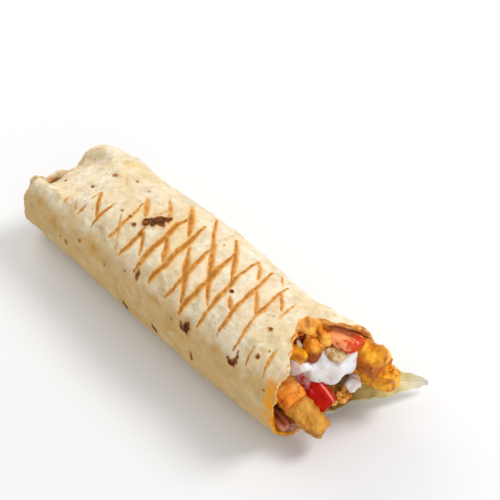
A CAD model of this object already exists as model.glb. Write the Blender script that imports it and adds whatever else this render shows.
# %% [markdown]
# # A grilled gyro wrap
# A flatbread is rolled round chicken, fries, tomato and yogurt sauce, folded shut at one end and pressed on a
# ridged grill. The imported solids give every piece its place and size. This lesson gives each piece the fine
# surface and the finish of the real food, and it starts by loading those solids as a fixed frame.

# %% Load the frame
import math

import bpy
import numpy as np
from mathutils import Matrix, Vector


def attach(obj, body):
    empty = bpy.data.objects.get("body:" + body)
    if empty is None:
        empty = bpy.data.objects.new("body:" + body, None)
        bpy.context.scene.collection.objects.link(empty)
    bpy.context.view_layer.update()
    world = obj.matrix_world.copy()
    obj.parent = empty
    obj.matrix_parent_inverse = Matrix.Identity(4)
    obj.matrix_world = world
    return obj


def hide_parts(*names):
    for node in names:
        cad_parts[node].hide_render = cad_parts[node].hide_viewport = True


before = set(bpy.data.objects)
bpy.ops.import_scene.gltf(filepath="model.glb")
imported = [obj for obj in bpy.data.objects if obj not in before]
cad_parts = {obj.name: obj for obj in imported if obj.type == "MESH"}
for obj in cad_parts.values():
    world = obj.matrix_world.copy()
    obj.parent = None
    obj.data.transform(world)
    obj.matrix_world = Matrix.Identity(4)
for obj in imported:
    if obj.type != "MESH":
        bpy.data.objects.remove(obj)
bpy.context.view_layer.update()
print("solids:", sorted(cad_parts))

MM = 0.001
rng = np.random.default_rng(7)

# %% [markdown]
# ## Helpers for shapes
# Food is uneven at every size, so nearly all of its form comes from noise. Gradient noise is smooth and has
# no grain of its own, and because it is worked out on whole arrays a hundred thousand points take a blink.

# %% Noise on arrays
def perlin(points, size, seed=0):
    """Gradient noise, about -1 to 1. Space is cut into cubes of the given size, each corner gets a random
    slope, and a point takes the slopes of its cube's eight corners, blended by a curve that is flat at both
    ends."""
    place = np.asarray(points, float) / size + 101.7 + 13.37 * seed
    cell = np.floor(place).astype(np.int64)
    inside = place - cell
    blend = inside ** 3 * (inside * (inside * 6 - 15) + 10)
    total = np.zeros(place.shape[:-1])
    for corner in np.ndindex(2, 2, 2):
        corner = np.array(corner)
        key = (cell + corner) @ np.array([73856093, 19349663, 83492791])
        key = (key ^ (key >> 13)) * 1274126177 & 0xFFFFFFFF
        key = (key ^ (key >> 15)) * 668265263 & 0xFFFFFFFF
        slope = np.stack([(key >> shift & 1023) / 511.5 - 1 for shift in (2, 12, 22)], axis=-1)
        weight = np.prod(np.where(corner, blend, 1 - blend), axis=-1)
        total += weight * ((inside - corner) * slope).sum(axis=-1)
    return total * 1.4


def crags(points, size, seed=0, octaves=3):
    """Ridged noise, 0 to 1: one minus the absolute value of gradient noise, added up at halving sizes, so
    that it has sharp crests and round hollows like fried crust."""
    total, weight = 0, 0
    for octave in range(octaves):
        share = 0.55 ** octave
        total = total + share * (1 - np.abs(perlin(points, size / 2 ** octave, seed + octave)))
        weight += share
    return total / weight


def smooth(value, start, end):
    """0 before start and 1 after end, along a curve that is flat at both."""
    t = np.clip((value - start) / (end - start), 0, 1)
    return t * t * (3 - 2 * t)


def bell(distance, spread, power=2):
    """1 at no distance, falling to 1/e at spread: e to minus the power of distance over spread."""
    return np.exp(-((distance / spread) ** power))


def signed_power(value, power):
    """The value's size raised to the power, with its own sign."""
    return np.sign(value) * np.abs(value) ** power


sample = perlin(rng.random((20000, 3)), 0.1)
print("noise spans", sample.min().round(2), "to", sample.max().round(2))

# %% [markdown]
# Every piece is one grid of points, rows along it and columns round it. The grid closes round on itself, and
# its first and last row each close on a single point, so each piece is a sealed skin. Its volume then tells
# whether the faces look outwards.

# %% From a grid of points to a piece
def skin_faces(rows, columns):
    """Quads between neighbouring rows, then a fan of triangles to the point at each end."""
    row, column = np.meshgrid(np.arange(rows - 1), np.arange(columns), indexing="ij")
    after = (column + 1) % columns
    here, above = row * columns, (row + 1) * columns
    quads = np.stack([here + column, here + after, above + after, above + column], axis=-1).reshape(-1, 4)
    j = np.arange(columns)
    first, last = rows * columns, rows * columns + 1
    fan = np.stack([np.full(columns, first), (j + 1) % columns, j], axis=1)
    start = (rows - 1) * columns
    fan_end = np.stack([np.full(columns, last), start + j, start + (j + 1) % columns], axis=1)
    return quads, np.concatenate([fan, fan_end])


def skin_arrays(points):
    """Grid points with the two end points added, and the faces turned so that the volume is positive."""
    rows, columns = points.shape[:2]
    quads, fans = skin_faces(rows, columns)
    ends = np.stack([points[0].mean(axis=0), points[-1].mean(axis=0)])
    flat = np.concatenate([points.reshape(-1, 3), ends])
    triangles = np.concatenate([quads[:, [0, 1, 2]], quads[:, [0, 2, 3]], fans])
    if np.linalg.det(flat[triangles] - flat.mean(axis=0)).sum() < 0:
        quads, fans = quads[:, ::-1], fans[:, ::-1]
    return flat, quads, fans


def with_ends(values):
    """A value for each grid point, with the mean of the first and last row added for the two end points."""
    return np.concatenate([values.ravel(), [values[0].mean(), values[-1].mean()]])


def make_piece(name, skins, body="root", replaces=()):
    """One object from several closed skins. Each skin is (points, {attribute: values on the grid})."""
    corners, faces, values, offset = [], [], {}, 0
    for points, attributes in skins:
        flat, quads, fans = skin_arrays(points)
        corners.append(flat)
        faces += (quads + offset).tolist() + (fans + offset).tolist()
        for key, value in attributes.items():
            values.setdefault(key, []).append(with_ends(value))
        offset += len(flat)
    mesh = bpy.data.meshes.new(name)
    mesh.from_pydata(np.concatenate(corners), [], faces)
    for key, parts in values.items():
        layer = mesh.attributes.new(key, "FLOAT", "POINT")
        layer.data.foreach_set("value", np.concatenate(parts).astype(np.float32))
    mesh.shade_smooth()
    piece = bpy.data.objects.new(name, mesh)
    bpy.context.scene.collection.objects.link(piece)
    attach(piece, body)
    if replaces:
        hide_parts(*replaces)
    low, high = np.concatenate(corners).min(axis=0), np.concatenate(corners).max(axis=0)
    print(f"{name}: {len(faces)} faces, {np.round((high - low) / MM, 1)} mm")
    return piece


def outward(points):
    """Unit normals of a closed grid: the cross product of its two directions, turned away from each row's
    middle."""
    along = np.gradient(points, axis=0)
    across = np.roll(points, -1, axis=1) - np.roll(points, 1, axis=1)
    normal = np.cross(across, along)
    normal /= np.linalg.norm(normal, axis=-1, keepdims=True) + 1e-12
    away = ((points - points.mean(axis=(0, 1))) * normal).sum()
    return normal if away > 0 else -normal


# %% [markdown]
# ## Helpers for finishes
# Colours are picked as sRGB hex values, as a painter would note them, and turned to the linear values that
# the shader adds up light in. One small function places a node and wires it. A finish starts from one colour
# and lays blotches, specks and the marks that its mesh stores over it, one after another.

# %% Colour and nodes
def colour(hex_value):
    """sRGB hex to linear: below 0.04045 divide by 12.92, above it the power 2.4."""
    parts = [int(hex_value[i:i + 2], 16) / 255 for i in (0, 2, 4)]
    return (*[c / 12.92 if c <= 0.04045 else ((c + 0.055) / 1.055) ** 2.4 for c in parts], 1.0)


def add(tree, kind, inputs=None, **settings):
    """Adds one node: settings go on the node, and inputs gives each socket a value or the socket to read."""
    made = tree.nodes.new("ShaderNode" + kind)
    for name, value in settings.items():
        setattr(made, name, value)
    for socket, value in (inputs or {}).items():
        if isinstance(value, bpy.types.NodeSocket):
            tree.links.new(value, made.inputs[socket])
        else:
            made.inputs[socket].default_value = value
    return made


SOCKETS = {
    "roughness": "Roughness", "bends": "IOR", "gloss": "Specular IOR Level",
    "scatter": "Subsurface Weight", "radius": "Subsurface Radius", "distance": "Subsurface Scale",
}


class Finish:
    """A Principled material whose colour is built up in layers. Its sizes are in millimetres."""

    def __init__(self, name, ground):
        self.material = bpy.data.materials.new(name)
        self.material.use_nodes = True
        self.tree = self.material.node_tree
        self.ground = ground

    def math_node(self, operation, *values):
        """One arithmetic step on values or sockets."""
        return add(self.tree, "Math", dict(enumerate(values)), operation=operation).outputs[0]

    def stored(self, name):
        """The value that the mesh stores under a name."""
        return add(self.tree, "Attribute", attribute_name=name).outputs["Fac"]

    def place(self):
        """Object coordinates."""
        return add(self.tree, "TexCoord").outputs["Object"]

    def noise(self, size, detail=3.0, seed=0.0, roughness=0.55):
        """Noise on Object coordinates with features of about size."""
        moved = {"Vector": self.place(), "Location": (seed, seed * 0.7, -seed)}
        inputs = {"Vector": add(self.tree, "Mapping", moved).outputs[0], "Scale": 0.5 / (size * MM)}
        return add(self.tree, "TexNoise", inputs | {"Detail": detail, "Roughness": roughness}).outputs[0]

    def ramp(self, value, low, high, top=1.0):
        """The value stretched so that low gives 0 and high gives top, clamped between."""
        inputs = {0: value, 1: low, 2: high, 3: 0.0, 4: top}
        return add(self.tree, "MapRange", inputs, interpolation_type="SMOOTHSTEP").outputs[0]

    def mix(self, share, first, second):
        """Colour first where share is 0 and second where it is 1. Each is a socket or a hex value."""
        inputs = {0: share}
        for socket, value in ((6, first), (7, second)):
            inputs[socket] = colour(value) if isinstance(value, str) else value
        return add(self.tree, "Mix", inputs, data_type="RGBA").outputs[2]

    def lay(self, tint, value, low, high, top=1.0):
        """A tint over the ground: none where the value is low, and top where it is high."""
        self.ground = self.mix(self.ramp(value, low, high, top), self.ground, tint)

    def blotch(self, tint, size, low, high, top=1.0, detail=4.0, seed=0.0, roughness=0.55):
        """A tint in blotches of about size."""
        self.lay(tint, self.noise(size, detail, seed, roughness), low, high, top)

    def speck(self, tint, spacing, reach, core, top):
        """Dots of a tint, one to each cell about spacing wide, fading in from their reach to their core."""
        cells = add(self.tree, "TexVoronoi", {"Vector": self.place(), "Scale": 1 / (spacing * MM)})
        self.lay(tint, cells.outputs["Distance"], reach, core, top)

    def settle(self, height=None, depth=0.0, **settings):
        """The material, with its colour and settings on the shader, and with relief from a height of 0 to 1
        that stands for depth. bends is its refraction, and light scatters in it as far as distance."""
        shader = self.tree.nodes["Principled BSDF"]
        if isinstance(self.ground, str):
            shader.inputs["Base Color"].default_value = colour(self.ground)
        else:
            self.tree.links.new(self.ground, shader.inputs["Base Color"])
        for name, value in settings.items():
            shader.inputs[SOCKETS[name]].default_value = value * MM if name == "distance" else value
        if height is not None:
            relief = add(self.tree, "Bump", {"Height": height, "Distance": depth * MM, "Strength": 1.0})
            self.tree.links.new(relief.outputs[0], shader.inputs["Normal"])
        return self.material


print("cream is", np.round(colour("f6e4cc"), 3))

# %% [markdown]
# ## The flatbread: its rolled form
# A thin wheat flatbread, rolled tight and pressed flat on top by the grill. Each cross-section is a
# superellipse, a shape between a circle and a box, cut off flat where it rests. Width, height and drift are
# read along the roll from a dozen stations, so that it narrows at a neck behind the mouth.

# %% The roll's sections
STATION_X = np.array([-91, -70, -45, -20, 5, 30, 46, 55, 63, 75, 88, 100]) * MM
STATION_HALF_WIDTH = np.array([28.2, 28.9, 29.1, 29.9, 30.3, 30.2, 29.7, 28.8, 27.7, 28.3, 29.4, 30.4]) * MM
STATION_HEIGHT = np.array([51, 53.5, 55, 56, 57, 57, 57, 56.4, 56, 56.2, 57, 57]) * MM
STATION_DRIFT = np.array([-2.3, -1.7, -1.9, -1.6, -1.9, -2.1, -2.1, -2.4, -3.0, -2.2, -1.0, -0.2]) * MM
THICKNESS = 2.2 * MM
ROUNDNESS = 2.5
RESTING_CUT = 1.6 * MM
TAIL_X, TAIL_SKEW, TAIL_SKEW_ANGLE = -90.5 * MM, 4.5 * MM, math.radians(205)
SAG_DEPTH, SAG_START_X, SAG_CENTRE_Y, SAG_HALF_WIDTH = 15 * MM, -44 * MM, -2.2 * MM, 15.6 * MM
CORNER_SINK, CORNER_Y, CORNER_SPREAD = 5.4 * MM, 17.0 * MM, 7 * MM
SEAM_ANGLE, SEAM_STEP = math.radians(-34), 1.3 * MM
MOUTH_X, MOUTH_SKEW = 99 * MM, 4.5 * MM
# Bells round the roll: (middle, spread) in degrees, for the shifts (millimetres along x, middle, spread), and
# for the mouth's shifts the bell's power too.
NEAR_WALL = 192, 42
MOUTH_SHIFTS = (-14, 84, 34, 2), (-4.5, 85.5, 7, 2), (3.6, 145, 60, 4), (5, 58, 15, 2)
TAIL_SHIFTS = (3.6, 136, 30), (-4.6, 216, 34), (-3.0, 54, 24)


def station(x, values):
    """A value along the roll: straight lines between the stations, averaged over four nearby places."""
    shifts = (-7.5 * MM, -2.5 * MM, 2.5 * MM, 7.5 * MM)
    return sum(np.interp(x + shift, STATION_X, values) for shift in shifts) / len(shifts)


def turn_between(angle, middle):
    """The angle from middle, wrapped to half a turn either way."""
    return (angle - middle + math.pi) % (2 * math.pi) - math.pi


def hump(angle, middle, spread, power=2):
    """A bell over the angle, with its middle and spread in degrees."""
    return bell(turn_between(angle, math.radians(middle)), math.radians(spread), power)


def roll_surface(x, angle, inset):
    """Points of the skin at x and angle, moved in by inset: y and z follow a superellipse, the power 2/n of
    cosine and sine, and near the tail the top sags in a broad trough."""
    half_width = station(x, STATION_HALF_WIDTH) - inset
    height = station(x, STATION_HEIGHT) - inset
    half_height = (height + RESTING_CUT - inset) / 2
    cos, sin = np.cos(angle), np.sin(angle)
    slow = (
        0.22 * np.sin(x / (9.5 * MM) + 2 * angle + 0.6)
        + 0.25 * np.sin(x / (14 * MM) - 3 * angle + 2.1)
        + 0.16 * np.sin(x / (6.2 * MM) + angle + 4.0)
    ) * MM
    after = turn_between(angle, SEAM_ANGLE)
    seam = SEAM_STEP * smooth(after, -0.03, 0.05) * (1 - smooth(after, 0.05, 1.05))
    swell = 1 + (slow + seam) * (1 - 0.2 * inset / MM) / half_width
    y = half_width * swell * signed_power(cos, 2 / ROUNDNESS)
    z = height - half_height + half_height * swell * signed_power(sin, 2 / ROUNDNESS)
    sag = SAG_DEPTH * smooth(-x, -SAG_START_X, -TAIL_X) ** 1.3
    across = bell(y - SAG_CENTRE_Y, SAG_HALF_WIDTH, 6)
    corner = bell(y - CORNER_Y, CORNER_SPREAD) * smooth(-x, 76 * MM, 90 * MM)
    z = z - (sag * across + CORNER_SINK * corner) * smooth(z, 0.45 * height, 0.8 * height)
    y = y + station(x, STATION_DRIFT)
    return np.stack(np.broadcast_arrays(x, y, np.maximum(z, inset)), axis=-1)


def mouth_edge(angle):
    """X of the torn edge: further out on the far side, pulled back and notched over the crown, and ragged."""
    ragged = 0.5 * np.sin(9 * angle + 1) + 0.35 * np.sin(17 * angle)
    ring = np.stack([np.cos(angle), np.sin(angle), np.zeros_like(angle)], axis=-1)
    torn = 0.9 * perlin(ring, 0.09, 3) + 0.5 * perlin(ring, 0.04, 4)
    edge = MOUTH_X + MOUTH_SKEW * np.cos(angle - math.radians(20)) + (ragged + torn) * MM
    return edge + sum(out * MM * hump(angle, *shape) for out, *shape in MOUTH_SHIFTS)


print("mid section:", np.round(roll_surface(0.0, np.radians([0, 90, 180]), 0.0) / MM, 1).tolist())

# %% [markdown]
# The tail is folded shut: the top edge sags between two upright corners, and behind it the end flap stands up
# a little, leaving a dark pocket. A curve through a few named turns carries the skin's edge down into the
# pocket, out again, over the flap and across the end.

# %% The folded tail and the whole skin
END_BULGE, END_CENTRE = 4.5 * MM, np.array([TAIL_X, -2 * MM, 19 * MM])
FLAP_Y, FLAP_HALF_WIDTH = -13 * MM, 9 * MM
TURNED_IN = np.array([(0, 0), (0.8, 0.6), (1.6, 1.3), (2.5, 2.0), (3.8, 2.8)]) * MM
FOLDED_UP = np.array([(0, 0), (2.6, -5.0), (1.2, 1.0), (-4.6, 1.6), (-3.7, 3.6)]) * MM
COLUMNS, OUTER_ROWS = 320, 262


def even_columns(count):
    """Angles that cut a middle section into equal lengths, from the bottom round, closer over the top and
    near side: the running length is weighted, then read backwards at even shares."""
    fine = np.linspace(-math.pi / 2, 1.5 * math.pi, 4001)
    section = roll_surface(0.0, fine, 0.0)
    weight = 1 + 0.9 * smooth(np.sin(fine - math.radians(35)), -0.2, 0.4)
    step = np.linalg.norm(np.diff(section, axis=0), axis=1) * weight[1:]
    length = np.concatenate([[0], np.cumsum(step)])
    return np.interp(np.linspace(0, length[-1], count, endpoint=False), length, fine)


def through(knots, t):
    """A smooth curve through the knots: a cubic between each two, with slopes from their neighbours."""
    t = np.clip(t, 0, len(knots) - 1 - 1e-9)
    i = int(t)
    f = t - i
    before, after = knots[max(i - 1, 0)], knots[min(i + 2, len(knots) - 1)]
    start, end = knots[i], knots[i + 1]
    slope, next_slope = (end - before) / 2, (after - start) / 2
    return (
        (2 * f ** 3 - 3 * f ** 2 + 1) * start + (f ** 3 - 2 * f ** 2 + f) * slope
        + (3 * f ** 2 - 2 * f ** 3) * end + (f ** 3 - f ** 2) * next_slope
    )


def tail_edge(angle):
    """X of the tail's edge: skewed, drawn in at the near upper corner, let out below it and at the far
    corner."""
    skewed = TAIL_X - TAIL_SKEW * np.cos(angle - TAIL_SKEW_ANGLE)
    return skewed + sum(out * MM * hump(angle, *shape) for out, *shape in TAIL_SHIFTS)


def tail_rows(angle):
    """Rows from the middle of the folded end out to the skin's tail edge."""
    edge = roll_surface(tail_edge(angle), angle, 0.0)
    on_top = smooth(np.sin(angle), 0.2, 0.6)
    flap = (on_top * bell(edge[:, 1] - FLAP_Y, FLAP_HALF_WIDTH))[:, None]
    inward = END_CENTRE - edge
    inward[:, 0] = 0
    inward /= np.linalg.norm(inward, axis=1)[:, None]
    rows = []
    for t in np.linspace(0.25, 4, 16):
        turn, fold = through(TURNED_IN, t), through(FOLDED_UP, t)
        moved_in = turn[0] * (1 - flap) + fold[0] * flap
        moved_out = turn[1] * (1 - flap) + fold[1] * flap
        rows.append(edge + inward * moved_in - np.array([1.0, 0, 0]) * moved_out)
    last = rows[-1]
    for share in np.linspace(0.94, 0.04, 14):
        row = END_CENTRE + (last - END_CENTRE) * share
        row[:, 0] -= END_BULGE * (1 - share ** 2)
        rows.append(row)
    return rows[::-1]


angle = even_columns(COLUMNS)
tail = tail_rows(angle)
start_x, edge_x = tail_edge(angle), mouth_edge(angle)
shares = np.linspace(0, 1, OUTER_ROWS)
outer = [roll_surface(start_x + (edge_x - start_x) * share, angle, 0.0) for share in shares]
ring = np.stack([np.cos(angle), np.sin(angle), 0 * angle], axis=-1)
lip_thickness = (1.35 + 0.6 * perlin(ring, 0.12, 35)) * MM
lip = []
for turn in np.linspace(0, math.pi, 7)[1:-1]:
    depth = lip_thickness / 2 * (1 - math.cos(turn))
    lip.append(roll_surface(edge_x + lip_thickness * 0.35 * math.sin(turn), angle, depth))
INNER_X, BEHIND_LIP = -72 * MM, (0.3, 1.2, 2.4, 3.8, 5.5, 8, 12, 17, 25, 45, 80, 120, 150, 172)
near_wall = hump(angle, *NEAR_WALL)
inner = []
for behind in BEHIND_LIP:
    x = np.maximum(edge_x - behind * MM, INNER_X)
    crumpled = 3.4 * MM * near_wall * smooth(behind, 0.4, 5.0)
    thickened = lip_thickness + (THICKNESS + 0.6 * MM - lip_thickness) * smooth(behind, 0.0, 4.0)
    inner.append(roll_surface(x, angle, thickened + crumpled))
bread = np.stack(tail + outer + lip + inner)
first_outer, last_outer = len(tail), len(tail) + OUTER_ROWS
print("bread grid:", bread.shape, "outer rows", first_outer, "to", last_outer)

# %% [markdown]
# ## Grill marks and burnt spots
# The press leaves two families of brown lines that cross in long diamonds, strongest where the roll bulged
# against the ridges. They are placed by how far they lie along the roll and round it from the crown, because
# the marks follow the skin. Each is written as the points it passes through, in millimetres. The pocket under
# the end flap is browned too, by how near it lies to the fold.

# %% Where the marks lie
def arc_from_crown(points):
    """Distance round the roll from the crown, positive towards the near side, in metres. It is measured on
    upright sections and then read at each point's own x, because the grid's rows slant near the mouth."""
    places = np.linspace(-96, 108, 120)[:, None] * MM
    sections = roll_surface(places, angle[None], 0.0)
    step = np.linalg.norm(np.diff(sections, axis=1), axis=-1)
    length = np.concatenate([np.zeros((len(places), 1)), np.cumsum(step, axis=1)], axis=1)
    crown = np.argmin(np.abs(angle - math.pi / 2))
    length -= length[:, crown:crown + 1]
    return np.stack([np.interp(points[:, j, 0], places[:, 0], length[:, j]) for j in range(COLUMNS)], axis=1)


RIDGES_ROUND = (
    # half width and strength of the mark, then its points: (along, round)
    (1.0, 0.9, ((-14.8, 28), (-12.5, 22.8), (-11.2, 15), (-12, 8.8))),
    (0.9, 0.45, ((-13.8, 0.4), (-12.5, -7.3))),
    (1.5, 1.0, ((-1, 29), (0, 24), (0.3, 15.5), (0.2, 5.7), (-2.3, -3.7), (-1.8, -9.2))),
    (1.5, 0.95, ((10.2, 28), (10.8, 23.6), (12.6, 16), (12, 8.7), (11, -1), (8.2, -12.6))),
    (1.1, 0.9, ((22.8, 28.8), (24.8, 22), (25, 13), (23.8, 5.7), (22.2, -3.4), (21.5, -8.9))),
    (1.5, 1.0, ((33.8, 30.4), (34.5, 23.7), (36, 16.7), (36.3, 8.8), (34.4, 0.7), (33.2, -6), (31.5, -12.6))),
    (1.2, 0.85, ((46.2, 29.4), (46.6, 24), (47, 16.5), (46.5, 7.6), (45.5, 1), (44, -6), (42.7, -17.5))),
    (1.1, 0.85, ((57.8, 26), (58, 18.5), (57, 11.7), (56.5, 4.3), (56, -3.3), (54.5, -9.7), (52, -18.2))),
    (1.0, 0.75, ((69.2, 25.8), (69.5, 18.4), (68, 11), (67, 5), (66.2, -2.6), (64.5, -10.3), (63, -17.7))),
    (0.9, 0.5, ((76, 1.7), (75.2, -4.3), (74, -11.6))),
    (0.8, 0.7, ((78.8, 28.8), (78.3, 23.4), (78, 18.8))),
    (0.75, 0.65, ((90.2, 28.3), (88.8, 21.3), (87.8, 15.2))),
    (0.65, 0.5, ((-62.8, 23.4), (-62.6, 20.8), (-63.6, 17.8))),
    (0.7, 0.6, ((-50.8, 24), (-50.2, 21), (-49.6, 17.6))),
    (0.7, 0.9, ((-38.2, 25.3), (-38, 18.2), (-37.2, 13.6), (-36.4, 8.4))),
    (0.7, 0.5, ((-50, 13.9), (-49.4, 11.2), (-48.6, 8))),
    (0.9, 0.7, ((-24.8, 23.6), (-23, 16.7), (-23.2, 8.5), (-25.2, -1))),
)
RIDGES_ALONG = (
    (0.8, 0.5, ((-29, 10), (-23.2, 16.8), (-18.8, 23.6), (-16, 29.6))),
    (1.4, 0.7, ((-26, -4), (-21.2, 0), (-17.5, 3.8))),
    (1.0, 0.75, ((-11.8, 10.6), (-8.2, 13), (-4.6, 18), (-3.5, 20.5))),
    (0.9, 0.4, ((-50.3, -10.3), (-42, -3.4))),
    (1.2, 0.5, ((-19, -12.7), (-13.5, -8.6), (-10.5, -5.7), (-5.8, -1))),
    (1.5, 0.9, ((1, 5.2), (6.2, 10), (9.8, 15.3))),
    (1.5, 0.85, ((-9, -19), (-2.5, -13), (3.2, -7.8), (8, -2.6))),
    (1.6, 0.85, ((14.8, 2.4), (18, 6.5), (22.2, 11.4), (25.8, 14.5), (29, 19), (32.2, 25))),
    (1.3, 0.85, (
        (4.5, -24), (14, -13.4), (21.2, -7), (26.5, -1.6), (31.5, 3.4), (36.5, 8.8), (40.8, 13.4), (44.8, 18),
    )),
    (1.3, 0.8, ((24, -19.3), (31, -13), (36, -7.7), (40.5, -2.6), (44.5, 1.6))),
    (1.2, 0.7, ((50.5, 8.1), (55.5, 12.1))), (1.1, 0.6, ((41.8, -17), (46.8, -14.2), (52.2, -8.1))),
    (1.0, 0.72, ((57, -3.3), (62.2, 1.5), (66.5, 6.2))), (0.9, 0.55, ((55.5, -21), (61.5, -15.4))),
    (0.9, 0.62, ((65, -11.2), (70.5, -6.3), (73, -3.5))),
    (1.0, 0.8, ((-48.2, 7.8), (-45.3, 11.7), (-42.6, 15), (-39.4, 19.2))),
    (0.7, 0.55, ((-56.5, 18.5), (-54.8, 21), (-53.6, 23))),
)
BURNT_SPOTS = (
    # along, round, radius along, radius round, darkness
    (-13.8, 6.3, 2.4, 2.1, 0.95), (-11.3, 3.9, 2.6, 2.4, 0.95), (-9.6, 0.8, 3.0, 2.9, 1.0),
    (-8.4, -1.8, 2.2, 2.0, 0.9), (-6.8, 1.6, 1.6, 1.3, 0.8), (-7.5, -3.4, 1.5, 1.2, 0.85),
    (-10.6, 2.4, 2.2, 1.8, 0.95), (-17.5, 11.2, 1.5, 1.1, 0.8), (-11, 12.5, 1.3, 1.0, 0.55),
    (-23.5, 9, 0.9, 0.8, 0.7), (-29.8, 9, 0.8, 0.7, 0.55), (-41.2, -9.8, 1.1, 0.8, 0.5),
    (-53.6, -5.1, 1.8, 1.2, 0.5), (-56.3, 7.5, 1.1, 0.9, 0.8), (-30.5, -8.5, 1.0, 0.8, 0.4),
    (2.2, 28.7, 1.4, 3.0, 0.72), (40.6, 33.2, 2.0, 2.9, 1.0), (38.4, 35.4, 1.5, 1.6, 0.8),
    (37.2, 33, 1.2, 1.2, 0.6), (-9.2, 58, 1.5, 3.4, 0.9), (16.8, 54, 1.5, 3.6, 0.9),
    (44.3, 49.6, 0.9, 3.4, 0.7), (30.5, 35.5, 0.8, 0.7, 0.6), (49.2, 5.7, 1.1, 0.9, 0.8),
    (78, 7.9, 1.1, 1.0, 0.85), (67.8, 30.6, 1.1, 1.1, 0.7), (70.4, 31.8, 2.2, 1.6, 0.95),
    (72.5, 29.8, 1.4, 1.5, 0.85), (72.9, 27.4, 1.0, 1.4, 0.8), (72.3, 25, 0.7, 1.2, 0.6),
    (82.5, 21.8, 1.8, 1.4, 0.4), (82.8, 21.9, 0.7, 0.6, 0.9), (85.8, 16.9, 0.8, 0.6, 0.6),
    (59.5, 20.4, 0.7, 0.6, 0.5), (73.2, 1.5, 0.9, 0.7, 0.4), (24, -11.2, 0.9, 0.6, 0.4),
    (21.8, 15.6, 0.6, 0.5, 0.4), (-83.5, 7, 1.2, 0.9, 0.45), (-82.2, -12.3, 1.0, 0.8, 0.35),
    (-60.8, 42.5, 1.0, 0.9, 0.45), (-56, 43.1, 1.1, 2.0, 0.6), (-42.8, 35.2, 1.3, 1.1, 0.45),
    (-23, 38.9, 0.9, 0.9, 0.5), (-85.2, -18.8, 1.2, 0.6, 0.35), (-6.5, 31.9, 0.7, 0.6, 0.5),
    (-7.5, 46.7, 0.9, 0.8, 0.4), (10, 55.7, 0.8, 1.2, 0.4), (92.5, 34, 0.9, 0.8, 0.5),
    (-88.6, 9.4, 0.7, 0.8, 0.5), (-88.8, 7.6, 0.9, 1.0, 0.6), (-88.6, 12.6, 0.6, 0.6, 0.4),
)
TAN_PATCHES = (
    # along, round, radius along, radius round, strength
    (-80, 32, 7, 5, 0.9), (-66, 36, 9, 7, 1.0), (-57, 30, 6, 4, 0.7), (-32, 33, 7, 5, 0.9),
    (-22, 38, 7, 6, 0.8), (-84, -8, 7, 5, 0.6), (-80, 31, 4, 3, 1.0), (-66, 35.5, 3.5, 2.5, 1.0),
    (-89, 11, 3, 3, 0.8), (20, 33, 7, 4, 0.9), (38, 41, 4, 4, 0.8), (31, 42, 8, 7, 0.7),
    (50, 31, 5, 4, 0.8), (59, 32, 6, 5, 0.8), (82, 36, 6, 6, 0.6), (0, 55, 7, 6, 0.7), (3, 35, 5, 4, 0.5),
    (-46, 42, 6, 6, 0.6), (-72, 12, 6, 5, 0.4), (-67, -12, 5, 4, 0.35), (15, 45, 6, 5, 0.5),
)


def line_mask(along, around, points, half_width):
    """1 on the line through the points, falling to 0 at half_width, and thinner towards its two ends."""
    place = np.stack([along, around], axis=-1)
    nearest, share = np.full(along.shape, 1e3), np.zeros(along.shape)
    stretches = list(zip(points, points[1:]))
    for number, (start, end) in enumerate(stretches):
        start, end = np.array(start, float), np.array(end, float)
        run = end - start
        t = np.clip(((place - start) @ run) / (run @ run), 0, 1)
        distance = np.linalg.norm(place - start - t[..., None] * run, axis=-1)
        closer = distance < nearest
        nearest = np.where(closer, distance, nearest)
        share = np.where(closer, (number + t) / len(stretches), share)
    width = half_width * (0.3 + 0.7 * np.sin(math.pi * np.clip(share, 0.03, 0.97)) ** 0.6)
    return 1 - smooth(nearest / width, 0.3, 1.0)


def spot_mask(along, around, spots, wobble, soft=0.45):
    """Patches: 1 inside each uneven ellipse, falling off at its edge, times its strength."""
    total = np.zeros(along.shape)
    for x, s, radius_x, radius_s, strength in spots:
        reach = np.hypot((along - x) / radius_x, (around - s) / radius_s) + wobble
        total = np.maximum(total, strength * (1 - smooth(reach, soft, 1.15)))
    return total


arc = arc_from_crown(bread)
along_mm, around_mm = bread[..., 0] / MM, arc / MM
uneven = perlin(bread, 5 * MM, 11) + 0.6 * perlin(bread, 2.2 * MM, 12)
shifted_along, shifted_around = along_mm + 0.35 * uneven, around_mm + 0.3 * uneven
grill, core_mark, halo = np.zeros(arc.shape), np.zeros(arc.shape), np.zeros(arc.shape)
pressed = 1 + 0.45 * perlin(bread, 7 * MM, 36)
for half_width, strength, ridge in RIDGES_ROUND + RIDGES_ALONG:
    wide = half_width * pressed
    grill = np.maximum(grill, strength * line_mask(shifted_along, shifted_around, ridge, 2.0 * wide))
    core_line = line_mask(shifted_along + 0.35, shifted_around, ridge, 1.25 * wide)
    core_mark = np.maximum(core_mark, strength * core_line)
    halo = np.maximum(halo, strength * line_mask(shifted_along, shifted_around, ridge, 3.6 * wide))
patchy = 0.92 + 0.36 * perlin(bread, 9 * MM, 13)
grill *= patchy + 0.2 * perlin(bread, 1.6 * MM, 14)
core_mark *= patchy + 0.6 * perlin(bread, 3 * MM, 18)
halo *= 0.85 + 0.4 * perlin(bread, 7 * MM, 15)
spot_wobble = 0.38 * perlin(bread, 2.6 * MM, 16)
burnt_spots = [(x, s, 1.25 * a, 1.3 * b, dark) for x, s, a, b, dark in BURNT_SPOTS]
around_spots = [(x, s, 2.1 * a + 0.4, 2.1 * b + 0.4, 0.8 * dark) for x, s, a, b, dark in BURNT_SPOTS]
burnt = spot_mask(along_mm, around_mm, burnt_spots, spot_wobble, 0.5)
singed = spot_mask(along_mm, around_mm, around_spots, spot_wobble, 0.1)
patches = spot_mask(along_mm, around_mm, TAN_PATCHES, 0.6 * perlin(bread, 5 * MM, 19), -0.3)
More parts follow.
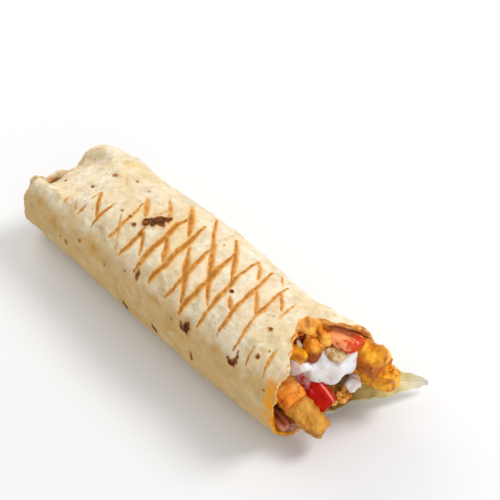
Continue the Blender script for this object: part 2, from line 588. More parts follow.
POCKET_ROW, POCKET_ROWS, POCKET_HALF_WIDTH, POCKET_LOW = first_outer - 7.5, 3.2, 5.5 * MM, 25 * MM
pocket = bell(np.arange(len(bread))[:, None] - POCKET_ROW, POCKET_ROWS)
pocket = pocket * bell(bread[..., 1] - FLAP_Y, POCKET_HALF_WIDTH) * (bread[..., 2] > POCKET_LOW)
singed = np.maximum(singed, pocket)
burnt = np.maximum(burnt, 0.72 * pocket ** 2)
on_skin = np.zeros(arc.shape)
on_skin[first_outer - 14:last_outer] = 1
grill, core_mark, halo, burnt, singed, patches = (
    np.clip(mask, 0, 1) * on_skin for mask in (grill, core_mark, halo, burnt, singed, patches)
)
print("grilled share of the skin:", (grill[first_outer:last_outer] > 0.4).mean().round(3))

# %% [markdown]
# The bread's own relief is low: blisters where steam lifted the dough, soft creases where it was folded, and
# shallow troughs where the ridges pressed. All of it moves the skin along its normal, only a few tenths of a
# millimetre, which raking light still shows.

# %% Blisters, creases and pressed lines
normal = outward(bread)
blister = 0.8 * smooth(perlin(bread, 8 * MM, 21), 0.05, 0.75)
blister += 0.38 * smooth(perlin(bread, 3.6 * MM, 22), 0.05, 0.7)
rumple = 0.5 * perlin(bread * np.array([0.5, 1, 1]), 8 * MM, 23) + 0.2 * perlin(bread, 1.9 * MM, 24)
near_tail = smooth(-along_mm, 45, 88)
creases = near_tail * 1.1 * (crags(bread * np.array([0.4, 1, 1]), 7 * MM, 25, 2) - 0.75)
near_mouth = smooth(along_mm, edge_x / MM - 12, edge_x / MM - 1)
frill = near_mouth * 0.7 * perlin(bread * np.array([0.6, 1, 1]), 4.5 * MM, 26)
relief = blister + rumple + creases + frill - 0.6 * grill - 0.2 * halo + 0.25 * burnt
pleat = np.sin(9 * angle + 2.2 * np.sin(2 * angle) + 1.2) * smooth(np.arange(len(bread)), 2, 9)[:, None]
relief[:first_outer - 10] += 0.9 * pleat[:first_outer - 10]
relief *= smooth(bread[..., 2] / MM, 0.3, 4)
relief[last_outer + len(lip):] *= 0.3
bread = bread + normal * relief[..., None] * MM
bread[..., 2] = np.maximum(bread[..., 2], 0.0)
from_edge = edge_x / MM - along_mm
far_crown = hump(angle, 55, 38)
toast = bell(from_edge, 1.5) * (0.45 + 0.62 * far_crown + 0.9 * perlin(bread, 3.2 * MM, 27))
toast[last_outer:] = 0.42 + 0.55 * far_crown + 0.9 * perlin(bread[last_outer:], 2.2 * MM, 32)
oil = (1 - smooth(from_edge, 2, 9)) * hump(angle, 158, 30) * (0.85 + 0.7 * perlin(bread, 5 * MM, 28))
oil[last_outer:] = 0.9 * hump(angle, 204, 52)
tan = smooth(around_mm + 5 * perlin(bread, 12 * MM, 29), 20, 38) * (1 - smooth(around_mm, 95, 110))
closing = np.linspace(0, 1, first_outer)[:, None] ** 2
end_tan = 0.45 + 0.4 * perlin(bread[:first_outer], 9 * MM, 37)
tan[:first_outer] = tan[:first_outer] * closing + (1 - closing) * end_tan
yellow = smooth(perlin(bread, 15 * MM, 30) + 0.35 * perlin(bread, 5 * MM, 31), 0.22, 0.7)
marks = {"grill": grill, "core": core_mark, "halo": halo, "burnt": burnt, "singed": singed}
marks |= {"patches": patches, "toast": toast, "oil": oil, "tan": tan, "yellow": yellow}
marks = {key: np.clip(value, 0, 1) for key, value in marks.items()}
bread_piece = make_piece("grilled_flatbread", [(bread, marks)], replaces=("flatbread",))

# %% [markdown]
# ## The flatbread's finish
# Baked wheat dough is dry and matt. It scatters a little light under its surface, is cream where it puffed
# and tan where it is thin, and browns to orange and then to nearly black where the iron touched it.

# %% Baked flatbread
def baked_flatbread():
    """Cream dough, mottled, then the marks laid over one another from the palest to the darkest."""
    dough = Finish("baked wheat flatbread", "efe3ca")
    fine = dough.noise(0.9, 3.0, 6.6)

    def mark(tint, name, low, high, top, ragged=0.0):
        torn = dough.math_node("MULTIPLY_ADD", fine, ragged, -0.5 * ragged)
        dough.lay(tint, dough.math_node("ADD", dough.stored(name), torn), low, high, top)

    dough.blotch("e4d1a8", 9, 0.38, 0.66, 1.0, 4.0, 0.3)
    dough.blotch("f5eee0", 3.0, 0.54, 0.72, 0.7, 4.0, 2.3)
    dough.blotch("cdbf9f", 5.0, 0.53, 0.74, 0.4, 5.0, 4.9, 0.65)
    dough.blotch("d3b87e", 1.5, 0.53, 0.72, 0.4, 4.0, 1.1, 0.65)
    mark("ebcb80", "yellow", 0.0, 1.0, 0.45)
    mark("cba45c", "tan", 0.0, 1.0, 0.82, 0.2)
    dough.blotch("e2d2b0", 6.5, 0.5, 0.66, 0.42, 5.0, 12.3, 0.6)
    dough.blotch("b78f52", 5.5, 0.54, 0.7, 0.36, 5.0, 15.1, 0.6)
    dough.blotch("ab915f", 2.6, 0.46, 0.72, 0.34, 5.0, 9.1, 0.62)
    dough.blotch("b29c74", 6, 0.5, 0.68, 0.3, 5.0, 7.7, 0.65)
    mark("c48a32", "patches", 0.1, 1.0, 0.68, 0.3)
    dough.blotch("c99a5a", 4.5, 0.58, 0.76, 0.3, 4.0, 3.7)
    mark("f0a00c", "oil", 0.1, 0.85, 0.95)
    mark("e39a35", "toast", 0.3, 0.75, 0.9, 0.4)
    mark("a85a14", "toast", 0.75, 1.15, 0.85, 0.5)
    mark("f0c480", "halo", 0.1, 1.0, 0.55)
    mark("dc9a42", "grill", 0.2, 0.6, 0.88, 0.45)
    mark("a8661c", "core", 0.2, 0.95, 0.85, 0.9)
    mark("b0742e", "singed", 0.1, 0.8, 0.75, 0.3)
    mark("98581c", "burnt", 0.2, 0.45, 0.85, 0.5)
    charring = dough.ramp(dough.noise(1.6, 4.0, 3.3, 0.7), 0.42, 0.64)
    mark(dough.mix(charring, "381504", "8c4a10"), "burnt", 0.5, 0.85, 0.95, 0.7)
    dough.speck("9c8353", 4.6, 0.13, 0.05, 0.5)
    return dough.settle(
        dough.noise(1.0, 5.0, 5.0, 0.62), 0.35, roughness=0.7, bends=1.4, gloss=0.25,
        scatter=0.1, radius=(1.0, 0.55, 0.25), distance=1.2,
    )


bread_piece.data.materials.append(baked_flatbread())

# %% [markdown]
# ## Bars of food
# Fries, wedges, tomato slices and the strip of meat are all bars: a section carried from a hidden start to
# the end that shows. The section is a superellipse, boxy for a cut fry and rounder for a wedge, and the same
# curve closes the two ends. Noise along the normal then makes each one uneven.

# %% A bar
BAR_ROWS, BAR_COLUMNS = 90, 96


def bar_points(start, end, width, depth, turn=0.0, bow=0.0, taper=0.0, boxy=4.0, blunt=9.0):
    """Points of a bar in metres, from sizes in millimetres.

    The section's two sides are the powers 2/boxy of cosine and sine. Along the bar both shrink to nothing at
    the ends by (1 - |t|^blunt)^(1/blunt), with t from -1 to 1. bow lifts the middle by a parabola."""
    start, end = np.array(start, float) * MM, np.array(end, float) * MM
    along = (end - start) / np.linalg.norm(end - start)
    level = np.cross([0, 0, 1], along)
    level /= np.linalg.norm(level)
    upright = np.cross(along, level)
    c, s = math.cos(math.radians(turn)), math.sin(math.radians(turn))
    wide, deep = level * c + upright * s, upright * c - level * s
    t = np.sin(np.linspace(-1, 1, BAR_ROWS) * math.pi / 2 * 0.992)[:, None]
    size = (1 - np.abs(t) ** blunt) ** (1 / blunt) * (1 - taper * (t + 1) / 2)
    a = np.linspace(0, 2 * math.pi, BAR_COLUMNS, endpoint=False)[None]
    u = signed_power(np.cos(a), 2 / boxy) * size * width / 2 * MM
    v = signed_power(np.sin(a), 2 / boxy) * size * depth / 2 * MM
    v = v + bow * MM * (1 - t ** 2)
    middle = (start + end) / 2 + t[..., None] * (end - start) / 2
    return middle + u[..., None] * wide + v[..., None] * deep


def edge_share(points):
    """How near each point is to a sharp edge of its bar, 0 to 1, by how far it lies from its section's middle,
    between the nearest and the farthest point there."""
    middle = points.mean(axis=1, keepdims=True)
    reach = np.linalg.norm(points - middle, axis=-1)
    nearest = reach.min(axis=1, keepdims=True)
    farthest = reach.max(axis=1, keepdims=True)
    return (reach - nearest) / (farthest - nearest + 1e-9)


def roughened(points, layers, seed=0):
    """Moves points along their normals by gradient noise: each layer is (height, size) in millimetres."""
    height = sum(tall * perlin(points, size * MM, seed + 5 * i) for i, (tall, size) in enumerate(layers))
    return points + outward(points) * height[..., None] * MM


print("a bar has", bar_points((0, 0, 0), (30, 0, 0), 10, 9).shape, "points")

# %% [markdown]
# ## Fries and potato wedges
# Cut potato fried until its faces are golden and its edges brown. The faces stay soft and slightly sunken,
# the edges are crisp. The two wedges at the far side have a rougher, seasoned crust.

# %% Fries and wedges
def potato_bar(seed, rough=1.0, shaded_below=-99, browned_end=0.2, browned_from=0.82, **sizes):
    """A bar with a long wave, small pits and fine grain, and with its browning stored as an attribute:
    browner on its edges, in patches, at its end, and where it lies nearer the near side than shaded_below."""
    points = bar_points(**sizes)
    edges = edge_share(points)
    points = roughened(points, ((0.55 * rough, 6.5), (0.32 * rough, 2.2), (0.18, 0.9)), seed)
    brown = 0.5 * edges ** 2 + 0.45 * smooth(perlin(points, 5 * MM, seed + 31), -0.1, 0.7)
    brown += browned_end * smooth(np.linspace(0, 1, len(points)), browned_from, 1.0)[:, None]
    brown += 0.75 * (1 - smooth(points[..., 1] / MM, shaded_below - 3, shaded_below + 5))
    return points, {"brown": np.clip(brown, 0, 1)}


BARS = {
    "fry_outer": dict(
        start=(78, -16.8, 32), end=(112.5, -11, 13.5), width=12.5, depth=11.5, turn=24, seed=41,
        rough=2.9, taper=0.1, blunt=7.0,
    ),
    "fry_inner": dict(
        start=(77, -14.2, 36), end=(99.5, -15.6, 27.8), width=12, depth=9, turn=14, seed=42, rough=1.9,
    ),
    "fry_short": dict(
        start=(78, -7.2, 44.6), end=(95, -5.6, 44.8), width=8.4, depth=7.4, turn=-25, seed=43,
        rough=1.6, taper=0.15, blunt=6.0, browned_end=0.55, browned_from=0.7,
    ),
    "potato_wedge_upper": dict(
        start=(80, 20, 29.6), end=(115, 24.5, 32), width=12.5, depth=12, turn=28, seed=44,
        rough=2.4, taper=-0.16, boxy=6.0, blunt=12.0, shaded_below=18.5,
    ),
    "potato_wedge_lower": dict(
        start=(78, 18.5, 20), end=(120, 27, 22.6), width=12, depth=10.5, turn=-14, seed=47,
        rough=2.6, blunt=8.0, shaded_below=14.5, browned_end=0.0,
    ),
}
potato_pieces = []
for name, sizes in BARS.items():
    potato_pieces.append(make_piece("golden_" + name, [potato_bar(**sizes)], replaces=(name,)))

# %% [markdown]
# Fried potato is a starch crust over a moist inside, brushed with hot oil: it glows a little from within and
# has a soft gloss. Seasoning shows as dark specks, and crisp edges are browner.

# %% Fried potato
def fried_potato(name, pale, golden, brown, specks):
    """Pale to golden by broad noise, browner by the stored browning, with seasoning specks over it."""
    potato = Finish(name, pale)
    potato.blotch(golden, 4, 0.36, 0.62, 1.0, 5.0, 0.9, 0.65)
    potato.lay(brown, potato.stored("brown"), 0.3, 0.95, 0.85)
    potato.blotch(brown, 1.3, 0.5, 0.72, 0.6, 4.0, 4.1, 0.65)
    potato.speck("4a2408", 3.4, 0.16, 0.1, specks)
    return potato.settle(
        potato.noise(1.1, 5.0, 6.2, 0.68), 0.45, roughness=0.4, bends=1.45, gloss=0.3,
        scatter=0.15, radius=(1.0, 0.5, 0.12), distance=1.6,
    )


potato_finishes = {
    "fry_outer": fried_potato("pale fried potato", "dfa846", "c8841e", "a26014", 0.4),
    "fry_inner": fried_potato("orange fried potato", "fbb45a", "ef8f22", "b9560c", 0.0),
    "fry_short": fried_potato("yellow fried potato", "fdc22e", "e8920c", "b4600c", 0.0),
    "wedge": fried_potato("seasoned potato wedge", "ffc236", "e38c0a", "a24606", 0.95),
}
for piece in potato_pieces:
    look = next(key for key in potato_finishes if key in piece.name)
    piece.data.materials.append(potato_finishes[look])

# %% [markdown]
# ## Tomato and meat
# Two slices of tomato stick out: the lower one shows wet red flesh with a paler wall along its side, the
# upper one is salmon pink where it is cut and red at its tip. The meat strip at the bottom is smooth, with
# long fibres.

# %% Tomato slices
def tomato_bar(start, end, width, depth, turn, seed, **options):
    """A soft bar with a stored place along it and across it, so that wall and flesh can differ in colour."""
    points = bar_points(start, end, width, depth, turn, boxy=3.2, blunt=7.0, **options)
    points = roughened(points, ((0.4, 6.0), (0.18, 2.4)), seed)
    rows, columns = points.shape[:2]
    lengthwise = np.repeat(np.linspace(0, 1, rows)[:, None], columns, axis=1)
    round_it = np.linspace(0, 2 * math.pi, columns, endpoint=False)
    corner = np.repeat(bell(round_it - 2.0, 0.24)[None], rows, axis=0)
    return points, {"lengthwise": lengthwise, "corner": corner}


lower_tomato = tomato_bar((78, -7.3, 37.9), (108, -4, 21.2), 6.8, 11.6, -34, 51, bow=1.2)
upper_tomato = tomato_bar((76, 13.2, 46.2), (105.5, 17.8, 43.4), 16, 6, -28, 52)
tomato_pieces = {
    place: make_piece("tomato_flesh_" + place, [skin], replaces=("tomato_slice_" + place,))
    for place, skin in (("lower", lower_tomato), ("upper", upper_tomato))
}


def cut_tomato(name, flesh, deep, wall, wall_low, wall_high, wall_by, film=0.0):
    """Wet flesh mottled between two reds, with the wall's colour where the named attribute is between its
    limits, and a film of sauce towards its hidden end."""
    tomato = Finish(name, flesh)
    tomato.blotch(deep, 3.2, 0.35, 0.68, 1.0, 3.0, 1.7)
    wobbling = tomato.math_node("ADD", tomato.stored(wall_by), tomato.noise(2.5, 2.0, 8.0))
    tomato.lay(wall, wobbling, wall_low + 0.5, wall_high + 0.5, 0.9)
    smeared = tomato.math_node("ADD", tomato.stored("lengthwise"), tomato.noise(3, 4.0, 2.9))
    tomato.lay("d8b0bc", smeared, 1.08, 0.9, film)
    return tomato.settle(
        tomato.noise(1.4, 2.0, 3.0), 0.18, roughness=0.25, bends=1.36, gloss=0.2,
        scatter=0.15, radius=(1.0, 0.2, 0.1), distance=1.5,
    )


wet_tomato = cut_tomato("wet tomato flesh", "cc1a06", "a60602", "da8470", 0.5, 0.85, "corner", film=0.85)
pink_tomato = cut_tomato("pink tomato wall", "ffb88c", "ffa05c", "c81e00", 0.68, 0.86, "lengthwise")
tomato_pieces["lower"].data.materials.append(wet_tomato)
tomato_pieces["upper"].data.materials.append(pink_tomato)

# %% [markdown]
# The meat is a flat strip, browned on its upper side. Its fibres run along it, so the noise that makes them
# is stretched along the strip.

# %% Meat strip
meat_points = bar_points((76, -15.5, 12.6), (99.6, -19, 12.2), 13, 6.6, -24, boxy=3.0, blunt=6.0)
fibre = perlin(meat_points * np.array([0.25, 1, 1]), 1.6 * MM, 61)
uneven_meat = 0.25 * fibre + 0.4 * perlin(meat_points, 6 * MM, 62)
meat_points = meat_points + outward(meat_points) * uneven_meat[..., None] * MM
meat_piece = make_piece(
    "meat_slice", [(meat_points, {"fibre": 0.5 + 0.5 * fibre})], replaces=("meat_strip",)
)


def roast_meat():
    """Pinkish brown between the fibres, darker on them, with a moist gloss."""
    meat = Finish("roast meat", "c98060")
    meat.lay("844024", meat.stored("fibre"), 0.35, 0.65)
    meat.blotch("70341a", 4, 0.48, 0.68, 0.7, 3.0, 2.2)
    return meat.settle(
        meat.noise(0.8, 3.0, 1.0), 0.2, roughness=0.35,
        scatter=0.15, radius=(1.0, 0.35, 0.2), distance=1.0,
    )


meat_piece.data.materials.append(roast_meat())

# %% [markdown]
# ## Fried chicken
# The chicken is crusted: crisp crests, golden where they caught the oil, over dark red-brown hollows. Its
# form is a strip curled over on itself, made as a tube along a bent path, with ridged noise for the crust.
# How high each point stands is stored, so that the finish can darken the hollows.

# %% Curled chicken and crumbs
def tube_points(path, radii, rows=150, columns=130):
    """A tube along a smooth path through the given points, its radius read along it, with rounded ends."""
    knots = np.array(path, float) * MM
    t = np.linspace(0, len(knots) - 1, rows)
    middle = np.stack([through(knots, value) for value in t])
    along = np.gradient(middle, axis=0)
    along /= np.linalg.norm(along, axis=1)[:, None]
    side = np.cross(along, [0.35, 0.2, 0.91])
    side /= np.linalg.norm(side, axis=1)[:, None]
    other = np.cross(along, side)
    ends = np.sin(np.linspace(0.03, math.pi - 0.03, rows)) ** 0.45
    radius = np.interp(t, np.arange(len(radii)), radii) * MM * ends
    a = np.linspace(0, 2 * math.pi, columns, endpoint=False)[None, :, None]
    return middle[:, None] + radius[:, None, None] * (side[:, None] * np.cos(a) + other[:, None] * np.sin(a))


def ball_points(centre, radii, rows=70, columns=90):
    """An ellipsoid: latitude by latitude, cosine and sine of longitude times the sine of latitude."""
    latitude = np.linspace(0.04, math.pi - 0.04, rows)[:, None]
    longitude = np.linspace(0, 2 * math.pi, columns, endpoint=False)[None]
    ring = np.sin(latitude)
    unit = np.broadcast_arrays(ring * np.cos(longitude), ring * np.sin(longitude), np.cos(latitude))
    return (np.array(centre) + np.stack(unit, axis=-1) * np.array(radii)) * MM


def crusted(points, seed, tall=2.2, size=5.5):
    """Crust along the normals: one minus the crags, which is round lumps with sharp creases between them.
    Each point's rank by height, 0 for the lowest and 1 for the highest, is stored as crest."""
    lump = 1 - crags(points, size * MM, seed, 2)
    height = tall * (lump - lump.mean()) * 2.2 + 0.3 * perlin(points, 2.2 * MM, seed + 9)
    height += 0.14 * perlin(points, 0.9 * MM, seed + 10)
    rank = height.ravel().argsort().argsort().reshape(height.shape) / height.size
    return points + outward(points) * height[..., None] * MM, {"crest": rank}


def darker(skin, deep, golden=0.0):
    """The same skin with how deep in shade its crust was browned, 0 to 1, stored too, and its crests raised
    so that golden is the lowest."""
    points, attributes = skin
    crest = golden + (1 - golden) * attributes["crest"]
    return points, {"crest": crest, "deep": np.broadcast_to(deep, points.shape[:2])}


arch_path = (
    (84.2, -1.8, 49.2), (85, 0.2, 51.6), (85.8, 2, 53.4), (87, 4.4, 53.6), (88.9, 6.5, 52.4),
    (91.4, 8.2, 50), (93.6, 9.4, 46.2), (94.2, 9.2, 42), (94, 8.2, 38.8),
)
arch = tube_points(arch_path, (2.6, 3.0, 3.5, 4.1, 4.3, 4.3, 4.1, 3.8, 2.8), 220)
lobe_path = ((88, 4.8, 50.8), (90.2, 3.6, 48.4), (92.4, 1.8, 45.8), (94.8, -0.2, 43), (96.4, -1.8, 40.6))
lobe = tube_points(lobe_path, (3.2, 3.9, 4.1, 4.0, 3.3), 190)
ridge = tube_points(((90.5, 5.5, 47.4), (92.8, 5.2, 44.4), (94, 4.6, 40.5)), (1.7, 2.0, 1.7), 80, 60)
arch_deep = 0.7 * smooth(np.linspace(0, 1, len(arch)), 0.72, 0.95)[:, None]
lobe_deep = 0.85 * smooth(np.linspace(0, 1, len(lobe)), 0.52, 0.72)[:, None]
chunk_skins = [
    darker(crusted(arch, 71, 2.2, 8.5), arch_deep),
    darker(crusted(lobe, 72, 1.5, 8.0), lobe_deep, 0.4),
    darker(crusted(ridge, 74, 1.0, 5.0), 0.0),
    darker(crusted(ball_points((95.2, 4.8, 38.6), (2.2, 2.4, 2.6)), 76, 0.8, 3.0), 0.3),
    darker(crusted(ball_points((84.5, 1.4, 43), (4, 5.5, 5.5)), 73, 2.2, 4.5), 1.0),
]
chunk_piece = make_piece("fried_chicken_curl", chunk_skins, replaces=("chicken_chunk",))
bits = [crusted(ball_points((97.5, 5.0, 12.0), (5.2, 4.4, 4.4)), 75, 1.8, 3.6)]
for number in range(22):
    centre = np.array([100, 8, 13.5]) + rng.normal(0, 1, 3) * (2.6, 3.4, 2.4)
    bit = ball_points(centre, rng.uniform(1.0, 2.3, 3), 18, 22)
    bits.append(crusted(bit, 80 + number, 0.7, 1.8))
bits_piece = make_piece("fried_chicken_bits", bits, replaces=("chicken_bits",))

# %% [markdown]
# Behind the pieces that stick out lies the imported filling, the same fried chicken chopped small. It runs the
# length of the roll. Only its rough dark front shows between the other pieces, so its hidden stretch is
# coarse.

# %% Packed filling
CORE_START_X, CORE_INSET, CORE_MIDDLE = -70 * MM, 4.0 * MM, np.array([90, 1, 27]) * MM
core_angle = np.linspace(0, 2 * math.pi, 150, endpoint=False) - math.pi / 2
core_back = (5 + 10 * hump(core_angle, *NEAR_WALL)) * MM
core_front = np.minimum(mouth_edge(core_angle) - core_back, CORE_MIDDLE[0])
core_rows = [
    roll_surface(CORE_START_X + (core_front - CORE_START_X) * share, core_angle, CORE_INSET)
    for share in (*np.linspace(0, 0.88, 14), 0.92, 0.95, 0.975, 1.0)
]
core_rim = core_rows[-1]
core_rows += [CORE_MIDDLE + (core_rim - CORE_MIDDLE) * share for share in np.linspace(0.97, 0.02, 50)]
core_skin = crusted(np.stack(core_rows), 91, 3.2, 6.0)
core_piece = make_piece("chopped_chicken", [core_skin], replaces=("chicken_filling",))


def fried_chicken(name, hollow, crust, crest_colour, scorched, singed=0.6):
    """Dark in the hollows, brown on the crust, golden on its crests, mottled, darker where it is deep in the
    curl, with oily gloss."""
    chicken = Finish(name, hollow)
    uneven = chicken.math_node("ADD", chicken.stored("crest"), chicken.noise(2.2, 4.0, 1.3))
    chicken.lay(crust, uneven, 0.5, 0.95)
    chicken.lay(crest_colour, uneven, 0.95, 1.4)
    chicken.blotch(scorched, 1.3, 0.52, 0.68, 0.55, 5.0, 5.9, 0.65)
    chicken.blotch(scorched, 5, 0.5, 0.7, singed, 4.0, 7.1, 0.6)
    chicken.lay("8a2f06", chicken.stored("deep"), 0.0, 1.0, 0.95)
    return chicken.settle(
        chicken.noise(0.8, 5.0, 2.0, 0.65), 0.4, roughness=0.42, gloss=0.2,
        scatter=0.08, radius=(1.0, 0.4, 0.15), distance=1.0,
    )


chicken_finishes = {
    chunk_piece: fried_chicken("crisp fried chicken", "7e3206", "e48a1a", "fdba54", "b45c0c"),
    bits_piece: fried_chicken("chopped fried chicken", "a04c12", "f29a2c", "ffca70", "c06a10", 0.4),
    core_piece: fried_chicken("packed chicken filling", "4a1c08", "a05a1a", "cf8430", "5a2408"),
}
for piece, finish in chicken_finishes.items():
    piece.data.materials.append(finish)

# %% [markdown]
# A thin curl of raw onion is caught between the chicken and the short fry. It is pale with a violet edge and
# is the only piece here that is no bigger than a crumb, so it is made as a flattened tube of its own.

# %% Onion sliver
sliver = tube_points(((86.2, -1.5, 48.8), (87.8, -2.0, 46.2), (89.6, -1.5, 42.8)), (0.9, 1.4, 0.8), 60, 40)
sliver_piece = make_piece("onion_sliver", [(sliver, {})])
raw_onion = Finish("raw onion", "efe4c8")
raw_onion.blotch("c4a494", 2.5, 0.45, 0.65, 1.0, 3.0, 1.9)
sliver_piece.data.materials.append(raw_onion.settle(roughness=0.3, scatter=0.3, distance=1.0))

# %% [markdown]
# ## Yogurt sauce and cabbage
# Thick white sauce sits in the middle of the mouth, smeared to the left over the tomato's end. It levels
# itself into soft lumps, so several balls are fused by a voxel remesh and smoothed, which rounds every join
# as a thick liquid does. Beside it lie a small dab and, half sunk in it, a pale piece of cabbage.

# %% Sauce fused from soft balls
def fused(name, balls, voxel, seed, replaces, relaxed=40, lumps=0.35):
    """Balls of (centre, radii) joined, remeshed to one skin, relaxed, and pushed along its normals by broad
    noise."""
    skins = [(ball_points(*ball, 24, 32), {}) for ball in balls]
    piece = make_piece(name, skins, replaces=replaces)
    remesh = piece.modifiers.new("Fuse", "REMESH")
    remesh.mode = "VOXEL"
    remesh.voxel_size = voxel
    relax = piece.modifiers.new("Relax", "SMOOTH")
    relax.factor, relax.iterations = 0.7, relaxed
    bpy.context.view_layer.update()
    mesh = bpy.data.meshes.new_from_object(piece.evaluated_get(bpy.context.evaluated_depsgraph_get()))
    piece.modifiers.clear()
    piece.data = mesh
    count = len(mesh.vertices)
    points, normals = np.empty(count * 3, np.float32), np.empty(count * 3, np.float32)
    mesh.vertices.foreach_get("co", points)
    mesh.vertex_normals.foreach_get("vector", normals)
    points, normals = points.reshape(-1, 3).astype(float), normals.reshape(-1, 3)
    height = lumps * perlin(points, 5.0 * MM, seed) + 0.4 * lumps * perlin(points, 2.0 * MM, seed + 1)
    points = points + normals * height[:, None] * MM
    mesh.vertices.foreach_set("co", points.astype(np.float32).ravel())
    mesh.shade_smooth()
    mesh.update()
    print(f"{name} fused: {len(mesh.polygons)} faces")
    return piece


sauce_balls = (
    ((94, 7, 35.5), (13, 9.5, 8.5)), ((97, 11, 37.5), (9, 7, 6.5)), ((96, -0.8, 35.2), (7.5, 6, 4.2)),
    ((93.6, -4.8, 40.4), (4.6, 5, 2.4)), ((92.6, -10.6, 42.6), (4.4, 4, 4.0)),
    ((99.5, 14.6, 38.8), (7, 5.5, 5.5)), ((100, 4.5, 32), (6.5, 6, 5.5)), ((102, 12.5, 34), (6, 5, 5.5)),
)
sauce_piece = fused("yogurt_sauce_pool", sauce_balls, 0.5 * MM, 101, ("yogurt_sauce",))
dab_balls = (
    ((105.4, 14, 20.2), (3.6, 3.2, 2.8)), ((103.8, 16.4, 21), (2.6, 2.2, 1.8)),
    ((107, 12.2, 19.2), (2.2, 2, 1.8)), ((104, 12.2, 20.8), (1.8, 1.8, 1.6)),
    ((107.2, 15.4, 19.4), (1.8, 1.7, 1.6)),
)
dab_piece = fused("yogurt_sauce_dab", dab_balls, 0.35 * MM, 103, ("sauce_dab",), 8, 1.1)
cabbage_points = roughened(ball_points((100, 9, 42.9), (5.4, 5.0, 2.6)), ((1.3, 3.6), (0.5, 1.5)), 105)
cabbage = make_piece("cabbage_bit", [(cabbage_points, {})], replaces=("cabbage_piece",))


def thick_sauce(name, white, stained, greyed=0.45):
    """White, stained in places, softly lit from within, glossy, with herb and pepper specks."""
    sauce = Finish(name, white)
    sauce.blotch(stained, 5, 0.5, 0.7, 0.7, 4.0, 0.4)
    sauce.blotch("b9a896", 2.2, 0.52, 0.72, greyed, 5.0, 8.3, 0.65)
    depth = add(sauce.tree, "SeparateXYZ", {0: sauce.place()}).outputs[1]
    waved = sauce.math_node("MULTIPLY_ADD", sauce.noise(3, 4.0, 3.4), 14 * MM, depth)
    sauce.lay("b49286", waved, 3 * MM, -4 * MM, 0.8)
    sauce.speck("6e6a4e", 3.0, 0.15, 0.09, 0.7)
    return sauce.settle(roughness=0.25, bends=1.38, scatter=0.4, radius=(1.0, 0.9, 0.75), distance=2.0)


def wilted_cabbage():
    """Beige-green leaf under a film of sauce."""
    leaf = Finish("sauced cabbage", "dcc494")
    leaf.blotch("b69258", 2.5, 0.35, 0.65, 1.0, 3.0, 5.5)
    return leaf.settle(roughness=0.3, scatter=0.2, distance=1.5)


sauce_piece.data.materials.append(thick_sauce("thick yogurt sauce", "e9ebef", "d8c8c0"))
dab_piece.data.materials.append(thick_sauce("fresh dab of sauce", "ffffff", "f6f2ee", 0.12))
cabbage.data.materials.append(wilted_cabbage())

# %% [markdown]
# ## Lettuce
# A thin leaf lies on the bread's floor and runs out past the far side. It is pale along its rib, yellow-green
# in its hollow and nearly white at its dry tip. It is a sheet over two parameters, ruffled at its outer edge,
# then thickened to half a millimetre.

# %% The leaf
def leaf_points(u, v):
    """A bent blade: u from foot to tip, v from inner to outer edge. It narrows by the cube of u, its outer
    half bulges over the bread's lip near the foot, and its edges wave by sines that grow with the square of
    v."""
    bulge = 0.42 * np.maximum(v, 0) * bell(u - 0.2, 0.14)
    half_width = 9 * (1 - 0.985 * u ** 3) * (1 + bulge)
    x = 82 + 44 * u - 4 * u * u + v * half_width * 0.75
    y = 3 + 44 * u ** 1.15 - v * half_width * 0.65
    curl = v ** 2 * (0.8 * np.sin(u * 17) + 0.45 * np.sin(u * 31 + v * 2))
    curl = curl + 0.35 * np.abs(v) ** 3 * np.sin(u * 67)
    z = 5.6 + 4.4 * np.sin(u * math.pi * 0.9) - v * (1.6 + 2.6 * u * (1 - u)) + curl
    z = z + 0.35 * perlin(np.stack([x, y, 0 * x], axis=-1), 5, 111) - 0.3 * bell(v, 0.1)
    return np.stack([x, y, np.maximum(z, 1.2)], axis=-1) * MM


LEAF_ROWS, LEAF_COLUMNS = 190, 70
u, v = np.meshgrid(np.linspace(0, 1, LEAF_ROWS), np.linspace(-1, 1, LEAF_COLUMNS), indexing="ij")
leaf = leaf_points(u, v)
row, column = np.meshgrid(np.arange(LEAF_ROWS - 1), np.arange(LEAF_COLUMNS - 1), indexing="ij")
corner = (row * LEAF_COLUMNS + column).ravel()
leaf_faces = np.stack([corner, corner + LEAF_COLUMNS, corner + LEAF_COLUMNS + 1, corner + 1], axis=1)
leaf_mesh = bpy.data.meshes.new("lettuce_blade")
leaf_mesh.from_pydata(leaf.reshape(-1, 3), [], leaf_faces.tolist())
uv = leaf_mesh.uv_layers.new(name="leaf")
loops = leaf_faces.ravel()
uv.data.foreach_set("uv", np.stack([u.ravel()[loops], v.ravel()[loops]], axis=1).astype(np.float32).ravel())
leaf_mesh.shade_smooth()
leaf_piece = bpy.data.objects.new("lettuce_blade", leaf_mesh)
bpy.context.scene.collection.objects.link(leaf_piece)
thicken = leaf_piece.modifiers.new("Thicken", "SOLIDIFY")
thicken.thickness, thicken.offset = 0.5 * MM, 0
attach(leaf_piece, "root")
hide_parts("lettuce_leaf")
print("leaf:", len(leaf_faces), "faces")


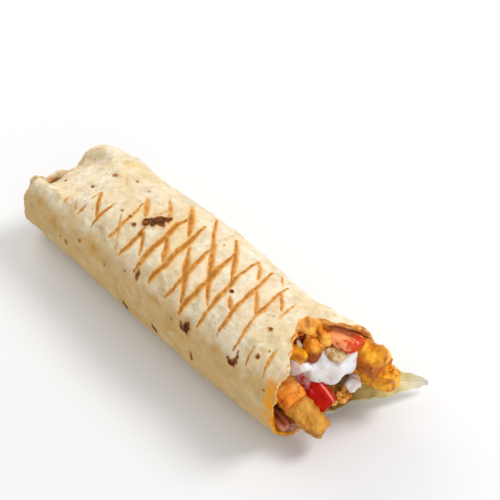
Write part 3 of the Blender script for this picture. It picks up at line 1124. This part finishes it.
def lettuce_leaf():
    """Colour runs from the foot to the tip, veins branch from the rib, and thin leaf lets light through."""
    lettuce = Finish("crisp lettuce", "9c7616")
    parts = add(lettuce.tree, "SeparateXYZ", {0: add(lettuce.tree, "UVMap", uv_map="leaf").outputs[0]})
    along, across = parts.outputs[0], parts.outputs[1]
    uneven = lettuce.math_node("ADD", along, lettuce.noise(7, 3.0, 0.2))
    lettuce.lay("ccc07c", uneven, 0.85, 1.15)
    lettuce.lay("ded6c8", uneven, 1.12, 1.38)
    lettuce.lay("5e3f16", along, 0.3, 0.12, 0.8)
    away = lettuce.math_node("ABSOLUTE", across)
    slanted = lettuce.math_node("MULTIPLY_ADD", away, -0.35, along)
    wave = lettuce.math_node("SINE", lettuce.math_node("MULTIPLY", slanted, 85.0))
    veins = lettuce.ramp(wave, 0.8, 1.0, 0.35)
    lettuce.ground = lettuce.mix(veins, lettuce.ground, "efe8c8")
    lettuce.lay("f2ecd6", away, 0.1, 0.03, 0.8)
    return lettuce.settle(
        veins, 0.25, roughness=0.4,
        scatter=0.35, radius=(0.8, 1.0, 0.3), distance=1.0,
    )


leaf_mesh.materials.append(lettuce_leaf())

# %% [markdown]
# ## Floor, light and camera
# The wrap lies on a plain pale surface. One broad light stands high at the far side, as a window would, so
# the near side is in soft shade, and a pale sky fills the rest.

# %% Floor and lights
floor_mesh = bpy.data.meshes.new("pale_floor")
FLOOR_REACH = 3.0
floor_corners = [(x * FLOOR_REACH, y * FLOOR_REACH, 0) for x, y in ((-1, -1), (1, -1), (1, 1), (-1, 1))]
floor_mesh.from_pydata(floor_corners, [], [(0, 1, 2, 3)])
floor = bpy.data.objects.new("pale_floor", floor_mesh)
bpy.context.scene.collection.objects.link(floor)
floor_mesh.materials.append(Finish("pale matt floor", "ebeef2").settle(roughness=0.8))


def soft_light(name, place, size, watts, tint):
    """A square area light at place, aimed at the middle of the wrap."""
    light = bpy.data.lights.new(name, "AREA")
    light.size, light.energy, light.color = size, watts, colour(tint)[:3]
    lamp = bpy.data.objects.new(name, light)
    lamp.location = place
    lamp.rotation_euler = (Vector((0, 0, 0.02)) - Vector(place)).to_track_quat("-Z", "Y").to_euler()
    bpy.context.scene.collection.objects.link(lamp)


soft_light("window", (0.44, 0.63, 0.95), 0.45, 7.95, "fffaf6")
soft_light("near_fill", (0.9, -0.5, 0.5), 0.9, 2.3, "fff6e8")
soft_light("tail_fill", (-0.8, 0.1, 0.45), 0.8, 3.8, "fff8ec")
world = bpy.data.worlds.new("pale sky")
bpy.context.scene.world = world
world.use_nodes = True
sky = world.node_tree.nodes["Background"]
sky.inputs["Color"].default_value = colour("fefefe")
sky.inputs["Strength"].default_value = 0.55
bpy.context.scene.view_settings.view_transform = "Standard"
print("lights placed")

# %% [markdown]
# The camera looks down over the open end, turned a little, as the picture was taken. Its focal length is the
# one that draws the roll at its size in a picture of 500 by 500.

# %% Camera
AZIMUTH, ELEVATION, ROLL = math.radians(52.5), math.radians(46.8), math.radians(5.5)
DISTANCE, FOCAL_PIXELS, PICTURE = 0.7, 1380.67, 500
AIM = Vector((8.2635, 36.2425, 20.0)) * MM
level = math.cos(ELEVATION)
back = Vector((math.sin(AZIMUTH) * level, -math.cos(AZIMUTH) * level, math.sin(ELEVATION)))
right = Vector((math.cos(AZIMUTH), math.sin(AZIMUTH), 0))
up = back.cross(right)
rolled_right = right * math.cos(ROLL) - up * math.sin(ROLL)
rolled_up = up * math.cos(ROLL) + right * math.sin(ROLL)
camera = bpy.data.cameras.new("camera")
camera.lens = FOCAL_PIXELS / PICTURE * camera.sensor_width
camera.clip_start = 0.01
viewer = bpy.data.objects.new("camera", camera)
turned = Matrix((rolled_right, rolled_up, back)).transposed().to_4x4()
viewer.matrix_world = Matrix.Translation(AIM + back * DISTANCE) @ turned
bpy.context.scene.collection.objects.link(viewer)
bpy.context.scene.camera = viewer
print("lens", round(camera.lens, 1), "mm")
